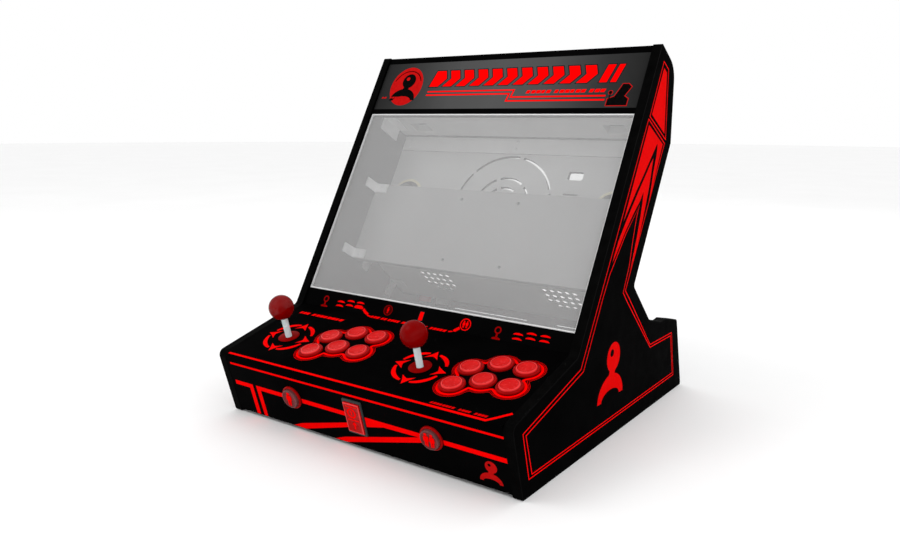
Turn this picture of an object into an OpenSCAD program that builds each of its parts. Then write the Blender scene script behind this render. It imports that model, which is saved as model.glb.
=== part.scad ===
// Two-player bartop video game cabinet. Millimetres, +Z up, front towards -Y.
// Every profile value is measured from the front foot of the side panel.

/* [Cabinet] */
// Overall width across both side panels
width = 476.4; // [420:0.1:560]
// Side panel thickness
side_t = 12.5; // [9:0.1:18]
// Thickness of control, front, ceiling and top boards
board_t = 12.5; // [9:0.1:18]
// Thickness of rear boards and base
thin_t = 6; // [4:0.5:9]
// Thickness of the perforated rear plate
plate_t = 2; // [1.5:0.5:6]
// Edge moulding thickness
mould_t = 1.8; // [1:0.1:3]
// Gap left between neighbouring boards
gap = 0.3; // [0.1:0.05:1]

/* [Screen and marquee] */
// Setback of screen cover and marquee from the side edges
setback = 3.7; // [1:0.1:8]
// Acrylic sheet thickness
sheet_t = 4; // [2:0.5:6]
// Lower edge of the screen cover, along the screen line
cover_lo = 29.2; // [20:0.1:60]
// Upper edge of the screen cover
cover_hi = 330.5; // [250:0.1:340]
// Lower edge of the marquee
marquee_lo = 339; // [300:0.1:350]
// Upper edge of the marquee
marquee_hi = 422.2; // [380:0.1:425]
// Depth of the monitor board behind the screen line
monitor_d = 68.4; // [50:0.1:80]
// Bolt square of the monitor board
vesa = 100; // [75:1:100]

/* [Controls] */
// Distance from player one controls to player two controls
players = 231.8; // [200:0.1:260]
// Player one joystick position across the panel
stick_x = -165.2; // [-180:0.1:-140]
// Joystick position up the panel
stick_s = 67.3; // [50:0.1:90]
// Joystick ball diameter
ball_d = 34.6; // [30:0.1:40]
// Height of the ball centre over the panel
ball_h = 46.3; // [40:0.1:60]
// Depth of the joystick pivot under the panel surface
pivot_h = 26; // [22:0.1:32]
// Button hole diameter
hole_d = 29.6; // [28:0.1:31]
// Button flange diameter
flange_d = 33.4; // [32:0.1:35]
// Button cap diameter
cap_d = 25.9; // [23:0.1:27]
// Button travel
travel = 2.2; // [1:0.1:4]

/* [Rear door] */
// Lower edge of the door on the rear slope
door_lo = 9; // [6:0.1:20]
// Upper edge of the door on the rear slope
door_hi = 184.6; // [150:0.1:200]
// Radius of the vent ring
vent_r = 82.4; // [60:0.1:85]
// Diameter of the holes in the perforated rear plate
vent_hole = 8.4; // [5:0.1:10]

/* [Hidden] */
hw = width/2;
wi = hw - side_t;          // inner face of the side panels
y0 = -230.73;              // moves the profile so the bounding box is centred
A = [337.5, 508.7];
B = [122.3, 132.9];
C = [-25.9, 92.35];
D = [0, 0];
E = [488.1, 0];
R = [454.8, 111.7];
N2 = [403, 123.8];
N1 = [388.4, 122.3];
G = [341.8, 134.4];
H = [281.1, 192.5];
I = [387.0, 378.3];
K = [387.0, 480.3];
prof = [D, E, R, N2, N1, G, H, I, K, A, B, C];
//      corner radius, positive outside corner, negative inside corner
rad = [3, 3, 9, 5, -12, -8, -6, 2, 33, 3, -9, 9];
a_cp = atan2(B[1]-C[1], B[0]-C[0]);
a_sc = atan2(A[1]-B[1], A[0]-B[0]);
a_fr = atan2(C[1], C[0]);
a_re = atan2(I[1]-H[1], I[0]-H[0]);
a_sl = atan2(G[1]-H[1], G[0]-H[0]);
a_le = atan2(N1[1]-G[1], N1[0]-G[0]);
a_tl = atan2(R[1]-E[1], R[0]-E[0]);
a_tp = atan2(K[1]-A[1], K[0]-A[0]);
cp_len = norm(B-C);
fr_len = norm(C);
cap_r = cap_d/2;
bore_r = cap_r + 0.07;
btn = [[-103.8, 87.9], [-72.9, 108], [-37.2, 108], [-104, 48.2], [-73.4, 68.4], [-37.2, 68.4]];
start_x = [-105.1, 124.2];
start_s = 51.9;
coin_x = 5.4;
coin_s = 49.6;
ledge_x = [-191, -154];
ledge_s = 50;
red = [0.72, 0.06, 0.06];
black = [0.06, 0.06, 0.065];
steel = [0.72, 0.73, 0.75];

// ---- frames: local x across, local y up the surface, local z out of the surface
module at(p, a) { translate([0, p[0]+y0, p[1]]) rotate([a, 0, 0]) children(); }
module on_cp() at(C, a_cp) children();
module on_front() at(D, a_fr) children();
module on_screen() at(B, a_sc) children();
module on_rear() at(H, a_re) children();
module on_slant() at(H, a_sl) children();
module on_ledge() at(G, a_le) children();
module on_tail() at(E, a_tl) children();
module on_top() at(A, a_tp) children();
module board(w, s0, s1, z0, z1) translate([-w, s0, z0]) cube([2*w, s1-s0, z1-z0]);
module pin(r, z0, z1) translate([0, 0, z0]) cylinder(r=r, h=z1-z0, $fn=64);
module tube(ro, ri, z0, z1) difference() { pin(ro, z0, z1); pin(ri, z0-1, z1+1); }

// ---- side outline, drawn in (depth, height), rounded with true arcs
np = len(prof);
function unit(v) = v/norm(v);
function dirv(i) = unit(prof[(i+1)%np] - prof[(i+np)%np]);
function nrm(i) = let(u = dirv(i)) [-u[1], u[0]];
function mitre(i) = let(a = nrm(i+np-1), b = nrm(i)) (a+b)/(1+a*b);
function turn(i) = acos(min(1, dirv(i+np-1)*dirv(i)));
function steps(i) = max(3, ceil(turn(i)/9));
// corner i inset by d: centre of the rounding, then points swept from one edge normal to the next
function corner(i, d) = let(c = prof[i] + mitre(i)*rad[i], m = -nrm(i+np-1), s = rad[i] > 0 ? 1 : -1,
    a0 = atan2(m[1], m[0]), n = steps(i), r = rad[i]-d)
  [for (k = [0:n]) let(a = a0 + s*turn(i)*k/n) c + r*[cos(a), sin(a)]];
module outline(d) polygon([for (i = [0:np-1]) each corner(i, d)]);
module slab(x0, x1) translate([x0, y0, 0]) rotate([90, 0, 90]) linear_extrude(x1-x0) children();
module across(w) translate([-w, 0, 0]) rotate([90, 0, 90]) linear_extrude(2*w) children();
module both() { children(); mirror([1, 0, 0]) children(); }
module colx(r, x0, x1, z) translate([x0, 0, z]) rotate([0, 90, 0]) cylinder(r=r, h=x1-x0, $fn=48);
module coly(r, y_0, y_1, z) translate([0, y_0, z]) rotate([-90, 0, 0]) cylinder(r=r, h=y_1-y_0, $fn=48);

// ---- cabinet boards
module side_panel_left() color(black) slab(-hw, -wi) outline(mould_t);
module side_panel_right() color(black) slab(wi, hw) outline(mould_t);
module edge_moulding_left() color(black) slab(-hw, -wi) difference() { outline(0); outline(mould_t); }
module edge_moulding_right() color(black) slab(wi, hw) difference() { outline(0); outline(mould_t); }
module base_panel() color(black) translate([-wi+gap, y0+14.5, 5]) cube([2*(wi-gap), 463, thin_t]);
module front_panel() color(black) on_front() difference() {
  board(wi-gap, 4.7, fr_len-board_t-gap, -board_t-0.3, -0.3);
  for (x = start_x) translate([x, start_s, 0]) pin(14.8, -20, 5);
  translate([coin_x-14.3, coin_s-24.1, -20]) cube([28.6, 48.2, 30]);
}
module control_panel() color(black) on_cp() difference() {
  board(wi-gap, 0.3, cp_len+5.1, -board_t, 0);
  for (k = [0, 1]) translate([k*players, 0, 0]) {
    for (b = btn) translate([b[0], b[1], 0]) pin(hole_d/2, -20, 5);
    translate([stick_x, stick_s, 0]) pin(9.5, -20, 5);
  }
}
module lower_rail() color(black) on_screen() board(wi-gap, 3.9, cover_lo-0.1, -setback-board_t, -setback);
module screen_cover() color([0.75, 0.76, 0.77, 0.5]) on_screen()
  board(wi-gap, cover_lo, cover_hi, -setback-sheet_t, -setback);
module marquee_rail() color(black) on_screen() {
  board(wi-gap, cover_hi+0.1, marquee_lo-0.1, -setback-board_t, -setback);
  board(wi-gap, marquee_lo-0.2, 341.9, -setback-board_t, -setback-3.3);
}
module marquee_panel() color([0.6, 0.61, 0.62]) on_screen()
  board(wi-gap, marquee_lo, marquee_hi, -setback-3, -setback);
module top_panel() color(black) on_screen()
  board(wi-gap, marquee_hi+0.1, marquee_hi+10.4, -33, -setback);
module ceiling_panel() color(black) on_screen() difference() {
  board(wi-gap, 342, 342+board_t, -93.4, -setback-3.3);
  both() translate([155.7, 335, -79.3]) cube([32.4, 30, 24.5]);
}
module rear_top_panel() color(black) translate([0, y0, 0]) across(wi-gap)
  polygon([[385, 376.9], [386.2, 380.8], [386.2, 459], [381.3, 475.3], [373.8, 485.6], [366.7, 491.4],
    [363.8, 486.4], [370, 481.2], [376, 472.8], [380.2, 458], [380.2, 379.7]]);
module rear_rail() color(black) on_rear() board(wi-gap, 185.3, 211.4, 1.9, 1.9+thin_t);
module slanted_panel() color(black) on_slant() difference() {
  board(wi-gap, 4, 118.2, -0.9-plate_t, -0.9);
  both() for (i = [-2:2], j = [-2:2]) if (abs(i)+abs(j) < 4)
    translate([113.3+i*12.4, 53.9+j*13.4, 0]) pin(vent_hole/2, -10, 2);
}
module ledge_panel() color(black) on_ledge() difference() {
  across(wi-gap) polygon([[0.4, -1], [118.2, -1], [121.8, -7], [11, -7]]);
  for (x = ledge_x) translate([x, ledge_s, 0]) pin(11.2, -10, 5);
}
module tail_panel() color(black) on_tail() difference() {
  across(wi-gap) polygon([[4, 1], [101.2, 1], [104.8, 7], [4, 7]]);
  both() translate([27.5, 68.6, -5]) cube([157.5, 5, 20]);
}
module monitor_board() color(black) on_screen() difference() {
  board(wi-gap, 105.3, 237.2, -monitor_d-2-board_t, -monitor_d-2);
  for (i = [-1, 1], j = [-1, 1]) translate([i*vesa/2, 170.7+j*vesa/2, 0]) pin(2.5, -120, 0);
}

// ---- brackets, stamped angles with pan head screws
module screw(x, y, z) translate([x, y, z]) intersection() { pin(2.6, 0, 1.3); translate([0, 0, -2.4]) sphere(r=3.9, $fn=48); }
module corner_brackets() {
  color(steel) both() {
    on_screen() for (t = [105.8, 222]) {
      translate([wi-24, t, -monitor_d-2]) cube([24, 15, 2]);
      translate([wi-2, t, -monitor_d-2]) cube([2, 15, 27]);
    }
    on_screen() {
      translate([wi-20, 340, -75.8]) cube([20, 2, 43]);
      translate([wi-2, 321, -75.8]) cube([2, 21, 43]);
    }
    on_slant() for (s = [-3, 76]) {
      translate([wi-24, max(s, 5), -2.9-plate_t]) cube([24, min(16, s+11), 2]);
      translate([wi-2, s, -31]) cube([2, 16, 30.1-plate_t-(s < 0 ? 1.9 : 0)]);
    }
  }
  color(steel) both() {
    on_screen() for (t = [113.3, 229.5]) screw(wi-13, t, -monitor_d);
    on_slant() for (x = [8, 17]) translate([wi-x, 84, -2.9-plate_t]) mirror([0, 0, 1]) screw(0, 0, 0);
  }
}

// ---- arcade push buttons, shared by both players, start and rear buttons
module btn_housing(rf, rh, rc, depth) difference() {
  rotate_extrude($fn=96) polygon([[0, -depth], [rh, -depth], [rh, 0], [rf, 0], [rf, 1.2],
    [rf-1.2, 2.6], [0, 2.6]]);
  pin(rc+0.07, -depth+2.5, 6);
  pin(4.07, -depth-1, 1);
}
module btn_cap(rc, depth, top) color(red) rotate_extrude($fn=96)
  polygon([[0, -depth-0.5], [4, -depth-0.5], [4, -depth+5+travel], [rc, -depth+5+travel], [rc, top-1],
    [rc-1, top], [rc-2.4, top], [rc-4, top-0.7], [rc-8, top-1.2], [0, top-1.4]]);
module btn_nut(ro, rh, z) color([0.15, 0.15, 0.16]) tube(ro, rh+0.1, z-7, z-0.1);
module btn_switch(depth) {
  color([0.15, 0.15, 0.16]) translate([0, 0, -depth]) {
    translate([-10, -3.2, -13]) cube([20, 6.4, 10]);
    for (i = [-1, 1]) translate([i*10.7-0.7, -3.2, -13]) cube([1.4, 6.4, 13]);
  }
  color([0.8, 0.65, 0.3]) for (x = [-7, 0, 7]) translate([x-1.6, -0.4, -depth-19]) cube([3.2, 0.8, 6.2]);
}
module each_btn() for (k = [0, 1], b = btn) on_cp() translate([b[0]+k*players, b[1], 0]) children();
module each_start() for (x = start_x) on_front() translate([x, start_s, -0.3]) children();
module each_ledge() for (x = ledge_x) on_ledge() translate([x, ledge_s, -1]) children();
module button_housings() color(red) each_btn() btn_housing(flange_d/2, hole_d/2-0.2, cap_r, 30);
module button_nuts() {
  each_btn() btn_nut(17.4, hole_d/2-0.2, -board_t);
  each_start() btn_nut(17.8, 14.6, -board_t);
  each_ledge() btn_nut(14.5, 11, -thin_t);
}
module button_switches() {
  each_btn() btn_switch(30);
  each_start() btn_switch(22);
  each_ledge() btn_switch(28);
}
module start_housings() color(red) each_start() btn_housing(16.2, 14.6, 13.4, 22);
module ledge_housings() {
  for (k = [0, 1]) color(k == 0 ? red : [0.85, 0.85, 0.85]) on_ledge()
    translate([ledge_x[k], ledge_s, -1]) btn_housing(13.6, 11, 8.9, 28);
}
module coin_housing() color(black) on_front() translate([coin_x, coin_s, -0.3]) difference() {
  union() {
    translate([-15.4, -25, 0]) cube([30.8, 50, 1.4]);
    translate([-14.9, -24.5, 1.4]) cube([29.8, 49, 0.6]);
    translate([-14.1, -23.9, -24]) cube([28.2, 47.8, 24]);
  }
  translate([-13.08, -21.58, -21]) cube([26.16, 43.16, 40]);
  pin(4.07, -30, 0);
}
module coin_cap() color(red) on_front() translate([coin_x, coin_s, -0.3]) {
  translate([-13, -21.5, -12]) cube([26, 43, 15.4]);
  translate([-12.2, -20.7, 3.4]) cube([24.4, 41.4, 0.8]);
  pin(4, -24.5, -11);
}
module cap_at(k, i) on_cp() translate([btn[i][0]+k*players, btn[i][1], 0]) btn_cap(cap_r, 30, 4.4);
module start_at(k) on_front() translate([start_x[k], start_s, -0.3]) btn_cap(13.4, 22, 6);
module ledge_at(k) on_ledge() translate([ledge_x[k], ledge_s, -1]) btn_cap(8.9, 28, 4.6);

// ---- joysticks: plate and housing, gimbal ring, stick, ball, sliding dust washer
module stick_frame(k) on_cp() translate([stick_x+k*players, stick_s, 0]) children();
module joystick_bases() for (k = [0, 1]) stick_frame(k) {
  color(steel) difference() {
    translate([-32, -48.5, -board_t-2.1]) cube([64, 97, 2]);
    pin(11.5, -20, 0);
    for (i = [-1, 1], j = [-1, 1]) translate([i*26, j*42, 0]) pin(2.4, -20, 0);
  }
  color([0.15, 0.15, 0.16]) difference() {
    translate([-20, -20, -47]) cube([40, 40, 47-board_t-2.1]);
    pin(15, -44.5, 0);
    translate([-8, -8, -50]) cube([16, 16, 10]);
    colx(1.86, -25, 25, -pivot_h);
  }
}
module joystick_switches() for (k = [0, 1]) stick_frame(k) for (a = [0:90:270]) rotate([0, 0, a]) {
  color([0.15, 0.15, 0.16]) translate([-10, 20.1, -44]) cube([20, 6.4, 10.4]);
  color([0.8, 0.65, 0.3]) for (x = [-7, 0, 7]) translate([x-1.6, 22.9, -50]) cube([3.2, 0.8, 6.1]);
}
module gimbal(k) color([0.15, 0.15, 0.16]) stick_frame(k) difference() {
  union() {
    tube(12.5, 8.2, -pivot_h-3.5, -pivot_h+3.5);
    colx(1.8, 11, 19.4, -pivot_h);
    colx(1.8, -19.4, -11, -pivot_h);
  }
  coly(1.66, -14, 14, -pivot_h);
}
module stick(k) color(steel) stick_frame(k) {
  pin(4.5, -pivot_h-8.5, ball_h);
  pin(8.5, -pivot_h-17, -pivot_h-8);
  pin(4, -pivot_h-22, -pivot_h-16);
  coly(1.6, -11.6, 11.6, -pivot_h);
}
module ball(k) color(red) stick_frame(k) difference() {
  translate([0, 0, ball_h]) sphere(r=ball_d/2, $fn=96);
  pin(4.52, 0, ball_h+0.1);
}
module dust_slider(k) color([0.15, 0.15, 0.16]) stick_frame(k) tube(13.4, 9, 0.05, 0.5);
module dust_washer(k) color(red) stick_frame(k)
  rotate_extrude($fn=96) polygon([[4.75, 0.6], [14.8, 0.6], [15, 0.9], [14.6, 1.5], [6, 1.9], [4.75, 1.9]]);

// ---- rear door on a long hinge
hx = 190;
hn = 9;
hs = 2*hx/hn;
module rear_door() color(black) on_rear() difference() {
  board(wi-gap-0.5, door_lo, door_hi, 1.9, 1.9+thin_t);
  translate([0, 97, 0]) linear_extrude(20) {
    for (r = [30, 46, vent_r]) difference() {
      circle(r=r+1.8, $fn=128);
      circle(r=r-1.8, $fn=128);
      for (a = [20:60:320]) rotate(a+(r < 50 ? 30 : 0)) translate([0, -3.5]) square([vent_r+5, 7]);
    }
    for (a = [0:45:315]) rotate(a) translate([14, 0]) circle(r=3, $fn=32);
  }
  translate([112.6, 152.5, 0]) linear_extrude(20) {
    square([24, 8], center=true);
    square([18, 13.6], center=true);
    for (i = [-1, 1], j = [-1, 1]) translate([i*9, j*3.8]) circle(r=3, $fn=32);
  }
  translate([100.7, 121, 0]) cube([23, 2.6, 20]);
}
module door_speakers() both() on_rear() translate([183, 101.5, 1.9+thin_t]) {
  color([0.86, 0.8, 0.62]) tube(30, 25.5, 0, 2.6);
  color([0.15, 0.15, 0.16]) { tube(25.5, 22, 0, 4); pin(22, 1.5, 5); tube(20, 14, 5, 9); pin(17, 8, 13.5); }
}
function odd(i) = i % 2 == 1;
module knuckles(par) for (i = [0:hn-1]) if (odd(i) == par)
  translate([-hx+i*hs+0.15, 0, 0]) rotate([0, 90, 0]) children();
module door_hinge_fixed() color(steel) {
  on_rear() translate([0, 2, -0.9]) {
    knuckles(false) cylinder(r=2.6, h=hs-0.3, $fn=48);
    colx(1.2, -hx+8, hx-8, 0);
  }
  on_slant() {
    translate([-hx, 5.3, -0.9]) cube([2*hx, 16, 1.2]);
    for (i = [0:hn-1]) if (!odd(i)) translate([-hx+i*hs+0.15, 2.35, -0.8]) cube([hs-0.3, 3.2, 0.9]);
  }
}
module door_hinge_moving() color(steel) on_rear() {
  translate([0, 2, -0.9]) knuckles(true) difference() {
    cylinder(r=2.6, h=hs-0.3, $fn=48);
    translate([0, 0, -1]) cylinder(r=1.26, h=hs+2, $fn=48);
  }
  translate([-hx, 5.3, 0.7]) cube([2*hx, 17, 1.2]);
  for (i = [0:hn-1]) if (odd(i)) translate([-hx+i*hs+0.15, 2.2, 0.9]) cube([hs-0.3, 3.4, 0.8]);
}

module gimbal_left() gimbal(0);
module gimbal_right() gimbal(1);
module stick_left() stick(0);
module stick_right() stick(1);
module ball_left() ball(0);
module ball_right() ball(1);
module dust_slider_left() dust_slider(0);
module dust_slider_right() dust_slider(1);
module dust_washer_left() dust_washer(0);
module dust_washer_right() dust_washer(1);
module cap_left_1() cap_at(0, 0);
module cap_left_2() cap_at(0, 1);
module cap_left_3() cap_at(0, 2);
module cap_left_4() cap_at(0, 3);
module cap_left_5() cap_at(0, 4);
module cap_left_6() cap_at(0, 5);
module cap_right_1() cap_at(1, 0);
module cap_right_2() cap_at(1, 1);
module cap_right_3() cap_at(1, 2);
module cap_right_4() cap_at(1, 3);
module cap_right_5() cap_at(1, 4);
module cap_right_6() cap_at(1, 5);
module start_cap_left() start_at(0);
module start_cap_right() start_at(1);
module ledge_cap_red() ledge_at(0);
module ledge_cap_white() ledge_at(1);

side_panel_left();
side_panel_right();
edge_moulding_left();
edge_moulding_right();
base_panel();
front_panel();
control_panel();
lower_rail();
screen_cover();
marquee_rail();
marquee_panel();
top_panel();
ceiling_panel();
rear_top_panel();
rear_rail();
slanted_panel();
ledge_panel();
tail_panel();
monitor_board();
corner_brackets();
door_hinge_fixed();
button_housings();
button_nuts();
button_switches();
joystick_bases();
joystick_switches();
start_housings();
coin_housing();
ledge_housings();
rear_door();
door_speakers();
door_hinge_moving();
gimbal_left();
stick_left();
ball_left();
dust_slider_left();
dust_washer_left();
gimbal_right();
stick_right();
ball_right();
dust_slider_right();
dust_washer_right();
coin_cap();
start_cap_left();
start_cap_right();
ledge_cap_red();
ledge_cap_white();
cap_left_1();
cap_left_2();
cap_left_3();
cap_left_4();
cap_left_5();
cap_left_6();
cap_right_1();
cap_right_2();
cap_right_3();
cap_right_4();
cap_right_5();
cap_right_6();
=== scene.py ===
import math

import bmesh
import bpy
from mathutils import Matrix, Vector


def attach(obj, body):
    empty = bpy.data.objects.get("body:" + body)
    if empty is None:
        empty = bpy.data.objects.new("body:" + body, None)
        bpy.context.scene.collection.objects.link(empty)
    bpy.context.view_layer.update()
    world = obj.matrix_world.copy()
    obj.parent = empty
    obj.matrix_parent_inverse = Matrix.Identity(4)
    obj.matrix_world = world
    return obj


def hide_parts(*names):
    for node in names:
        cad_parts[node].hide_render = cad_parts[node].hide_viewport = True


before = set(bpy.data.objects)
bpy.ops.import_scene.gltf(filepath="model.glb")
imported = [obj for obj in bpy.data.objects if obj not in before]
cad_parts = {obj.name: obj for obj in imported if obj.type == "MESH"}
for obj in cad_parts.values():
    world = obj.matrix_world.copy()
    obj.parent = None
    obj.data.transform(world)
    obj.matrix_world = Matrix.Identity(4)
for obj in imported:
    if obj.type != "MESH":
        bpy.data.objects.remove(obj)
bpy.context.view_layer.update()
scene = bpy.context.scene
MM = 0.001

# ---------------------------------------------------------------- camera, floor, light
cam_data = bpy.data.cameras.new("camera")
cam_data.sensor_width = 36.0
cam_data.lens = 31.563
cam_data.clip_start = 0.01
cam_data.clip_end = 100.0
camera = bpy.data.objects.new("camera", cam_data)
right = (0.811634, 0.584153, 0.004035)
down = (0.113695, -0.151187, -0.981945)
forward = (-0.572996, 0.797439, -0.189123)
eye = (0.638447, -0.925610, 0.408430)
camera.matrix_world = Matrix([(right[i], -down[i], -forward[i], eye[i]) for i in range(3)] + [(0, 0, 0, 1)])
scene.collection.objects.link(camera)
scene.camera = camera
scene.view_settings.view_transform = "Standard"

world = bpy.data.worlds.new("studio")
world.use_nodes = True
world.node_tree.nodes["Background"].inputs["Color"].default_value = (1.0, 1.0, 1.0, 1.0)
world.node_tree.nodes["Background"].inputs["Strength"].default_value = 1.0
scene.world = world


def area_light(name, place, aim, size, power):
    data = bpy.data.lights.new(name, "AREA")
    data.shape = "RECTANGLE"
    data.size, data.size_y = size
    data.energy = power
    ob = bpy.data.objects.new(name, data)
    ob.location = place
    ob.rotation_euler = (Vector(aim) - Vector(place)).to_track_quat("-Z", "Y").to_euler()
    scene.collection.objects.link(ob)


area_light("key", (-1.3, -1.6, 2.2), (0, 0, 0.2), (1.2, 1.2), 15)
area_light("fill", (2.2, -0.6, 1.6), (0, 0, 0.25), (1.6, 1.0), 8)
area_light("back", (0.4, 2.4, 1.8), (0, 0, 0.3), (1.6, 0.8), 8)


# ---------------------------------------------------------------- frames of the panels, as in the CAD
Y0 = -230.73     # world y of the side panels' front foot, mm
HALF = 238.2     # half the width over both side panels, mm


def frame_angle(p, q):
    return math.atan2(q[1] - p[1], q[0] - p[0])


# corners of the side profile: (y, z) in mm from the front foot
PTS = dict(A=(337.5, 508.7), B=(122.3, 132.9), C=(-25.9, 92.35), D=(0.0, 0.0),
           N=(388.4, 122.3), G=(341.8, 134.4), H=(281.1, 192.5), I=(387.0, 378.3))
ANG = dict(cp=frame_angle(PTS["C"], PTS["B"]), front=frame_angle(PTS["D"], PTS["C"]),
           screen=frame_angle(PTS["B"], PTS["A"]), rear=frame_angle(PTS["H"], PTS["I"]),
           slant=frame_angle(PTS["H"], PTS["G"]), ledge=frame_angle(PTS["G"], PTS["N"]))
ORG = dict(cp=PTS["C"], front=PTS["D"], screen=PTS["B"], rear=PTS["H"],
           slant=PTS["H"], ledge=PTS["G"])
FRONT_Z = -0.3   # front panel's face, mm from its zero plane
SCREEN_Z = -3.7  # face of the screen cover, marquee and rail, mm from theirs
REAR_IN = 7.9    # inner face of the rear door and rear rail, mm from theirs


def on(plane, x=0.0, s=0.0, z=0.0):
    """Places local (x, s, z) of a panel, in mm: x across, s along the panel, z along its normal.

    The normal points out of the cabinet, but into it on the rear slope. On a side panel x runs to the back.
    """
    def place(px, ps, pz=0.0):
        if plane == "right":
            return Vector((HALF + z + pz, Y0 + x + px, s + ps)) * MM
        if plane == "left":
            return Vector((-HALF - z - pz, Y0 + x + px, s + ps)) * MM
        a, o = ANG[plane], ORG[plane]
        ss, zz = s + ps, z + pz
        return Vector((x + px, o[0] + Y0 + ss * math.cos(a) - zz * math.sin(a),
                       o[1] + ss * math.sin(a) + zz * math.cos(a))) * MM
    return place


# ---------------------------------------------------------------- materials
class Mat:
    """A Principled material whose colour, roughness and bump vary with position on the object."""

    def __init__(self, name, **sockets):
        self.m = bpy.data.materials.new(name)
        self.m.use_nodes = True
        self.nt = self.m.node_tree
        self.b = self.nt.nodes["Principled BSDF"]
        for key, value in sockets.items():
            self.b.inputs[key.replace("_", " ")].default_value = value
        self.co = self.nt.nodes.new("ShaderNodeTexCoord").outputs["Object"]

    def node(self, kind, **props):
        n = self.nt.nodes.new(kind)
        for k, v in props.items():
            setattr(n, k, v)
        return n

    def link(self, a, b):
        self.nt.links.new(a, b)

    def math(self, op, a, b=None):
        n = self.node("ShaderNodeMath", operation=op)
        for i, v in enumerate((a, b)):
            if v is None:
                continue
            if isinstance(v, (int, float)):
                n.inputs[i].default_value = v
            else:
                self.link(v, n.inputs[i])
        return n.outputs[0]

    def noise(self, scale, detail=3.0, rough=0.55, stretch=None):
        co = self.co
        if stretch:
            mp = self.node("ShaderNodeMapping")
            mp.inputs["Scale"].default_value = stretch
            self.link(co, mp.inputs["Vector"])
            co = mp.outputs[0]
        n = self.node("ShaderNodeTexNoise")
        n.inputs["Scale"].default_value = scale
        n.inputs["Detail"].default_value = detail
        n.inputs["Roughness"].default_value = rough
        self.link(co, n.inputs["Vector"])
        return n.outputs["Fac"]

    def ramp(self, fac, stops):
        r = self.node("ShaderNodeValToRGB")
        while len(r.color_ramp.elements) < len(stops):
            r.color_ramp.elements.new(0.5)
        for e, (p, c) in zip(r.color_ramp.elements, stops):
            e.position = p
            e.color = c if len(c) == 4 else (*c, 1.0)
        self.link(fac, r.inputs["Fac"])
        return r.outputs["Color"]

    def span(self, fac, lo, hi):
        r = self.node("ShaderNodeMapRange")
        for k, v in (("From Min", 0.3), ("From Max", 0.7), ("To Min", lo), ("To Max", hi)):
            r.inputs[k].default_value = v
        self.link(fac, r.inputs["Value"])
        return r.outputs["Result"]

    def colour(self, out):
        self.link(out, self.b.inputs["Base Color"])

    def rough(self, out):
        self.link(out, self.b.inputs["Roughness"])

    def metal(self, out):
        self.link(out, self.b.inputs["Metallic"])

    def bump(self, height, strength, distance):
        n = self.node("ShaderNodeBump")
        n.inputs["Strength"].default_value = strength
        n.inputs["Distance"].default_value = distance
        self.link(height, n.inputs["Height"])
        self.link(n.outputs["Normal"], self.b.inputs["Normal"])

    def mix(self, fac, a, b):
        n = self.node("ShaderNodeMix", data_type="RGBA")
        for v, sock in ((fac, n.inputs[0]), (a, n.inputs[6]), (b, n.inputs[7])):
            if isinstance(v, (int, float)):
                sock.default_value = v
            elif isinstance(v, tuple):
                sock.default_value = v if len(v) == 4 else (*v, 1.0)
            else:
                self.link(v, sock)
        return n.outputs[2]

    def depth(self, plane):
        """Height above a panel's zero plane, in metres."""
        a, o = ANG[plane], ORG[plane]
        n = Vector((0, -math.sin(a), math.cos(a)))
        d = n.dot(Vector((0, (o[0] + Y0) * MM, o[1] * MM)))
        dot = self.node("ShaderNodeVectorMath", operation="DOT_PRODUCT")
        self.link(self.co, dot.inputs[0])
        dot.inputs[1].default_value = n
        return self.math("SUBTRACT", dot.outputs["Value"], d)

    def xyz(self):
        s = self.node("ShaderNodeSeparateXYZ")
        self.link(self.co, s.inputs[0])
        return s.outputs


def black_board(name, base=0.0011, gloss=1.025):
    m = Mat(name, IOR=gloss)
    broad = m.noise(14, 4)
    m.colour(m.ramp(broad, [(0.3, (base * 0.7, base * 0.7, base * 0.74)),
                            (0.7, (base * 1.6, base * 1.55, base * 1.6))]))
    fine = m.noise(900, 2)
    m.rough(m.span(m.noise(60, 3), 0.34, 0.5))
    m.bump(fine, 0.12, 0.0002)
    return m.m


def plastic(name, dark, light, rough=(0.2, 0.3), scale=120, grain=0.06, **sockets):
    m = Mat(name, **sockets)
    m.colour(m.ramp(m.noise(scale, 2), [(0.32, dark), (0.68, light)]))
    m.rough(m.span(m.noise(scale * 2.3, 3), *rough))
    if grain:
        m.bump(m.noise(1600, 2), grain, 0.0001)
    return m.m


def steel(name, tint, rough, stretch=(1, 14, 14), metallic=1.0):
    m = Mat(name, Metallic=metallic)
    brushed = m.noise(160, 4, 0.6, stretch=stretch)
    low = tuple(c * 0.84 for c in tint)
    m.colour(m.ramp(brushed, [(0.3, low), (0.7, tint)]))
    m.rough(m.span(m.noise(90, 3), *rough))
    m.bump(brushed, 0.08, 0.0002)
    return m.m


def printed(name, dark, light, gloss=1.03, rough=(0.35, 0.5)):
    """Vinyl print: ink that is a little uneven, over a fine film texture."""
    m = Mat(name, IOR=gloss)
    m.colour(m.ramp(m.noise(240, 3), [(0.3, dark), (0.7, light)]))
    m.rough(m.span(m.noise(500, 2), *rough))
    m.bump(m.noise(1500, 2), 0.08, 0.0001)
    return m.m


BOARD = black_board("painted_board")
VINYL = black_board("laminated_board", 0.0009, 1.017)

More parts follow.
